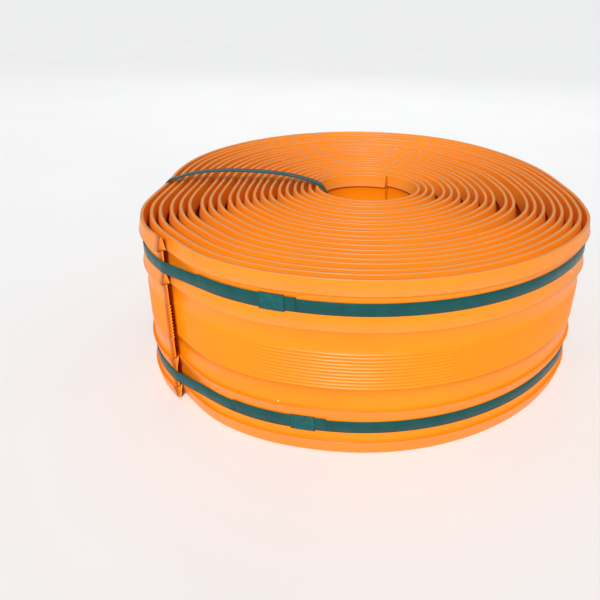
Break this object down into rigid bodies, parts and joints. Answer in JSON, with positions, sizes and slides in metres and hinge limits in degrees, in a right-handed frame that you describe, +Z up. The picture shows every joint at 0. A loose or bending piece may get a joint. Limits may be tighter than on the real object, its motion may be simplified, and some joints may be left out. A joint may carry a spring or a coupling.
{
  "type": "coil of ribbed pvc waterstop",
  "caption": "Coil of ribbed PVC waterstop strip standing on edge, held by two hoop straps around it and one tie strap through its core.",
  "frame": {"origin": "middle of the roll on the surface it stands on", "axes": "+Z up along the roll's axis; the strip's free outer end faces -X -Y, and the tie strap crosses the turns on the -X side"},
  "size_m": [0.6532, 0.6437, 0.2508],
  "materials": {
    "strip": "satin",
    "strap": "gloss",
    "seal": "satin"
  },
  "bodies": {
    "root": {"waterstop_strip": "strip", "upper_hoop_strap": "strap", "upper_hoop_seal": "seal", "lower_hoop_strap": "strap", "lower_hoop_seal": "seal", "tie_strap": "strap", "tie_strap_seal": "seal"}
  },
  "joints": []
}
